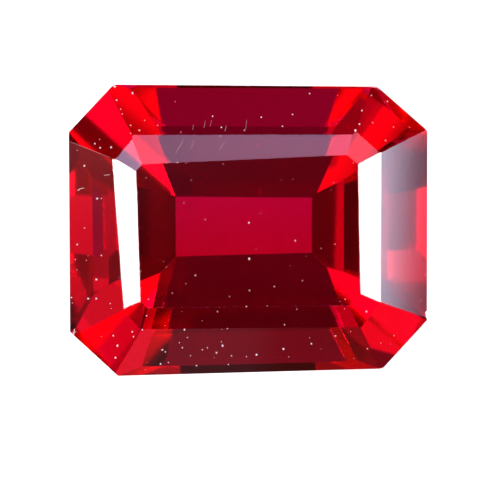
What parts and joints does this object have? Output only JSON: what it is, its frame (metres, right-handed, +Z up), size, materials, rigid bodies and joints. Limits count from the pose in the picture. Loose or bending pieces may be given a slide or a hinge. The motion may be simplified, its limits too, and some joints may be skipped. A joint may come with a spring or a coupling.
{
  "type": "faceted red crystal",
  "caption": "Loose transparent deep red gem crystal, an octagonal step cut with a large flat table and a flat back facet that it rests on.",
  "frame": {"origin": "middle of the outline's box, on the plane of the flat back facet that the stone rests on", "axes": "+X along the long side, +Y along the short side, +Z up out of the table"},
  "size_m": [0.01, 0.0082, 0.0046],
  "materials": {
    "red_crystal": "polished"
  },
  "bodies": {
    "root": {"cut_crystal": "red_crystal"}
  },
  "joints": []
}
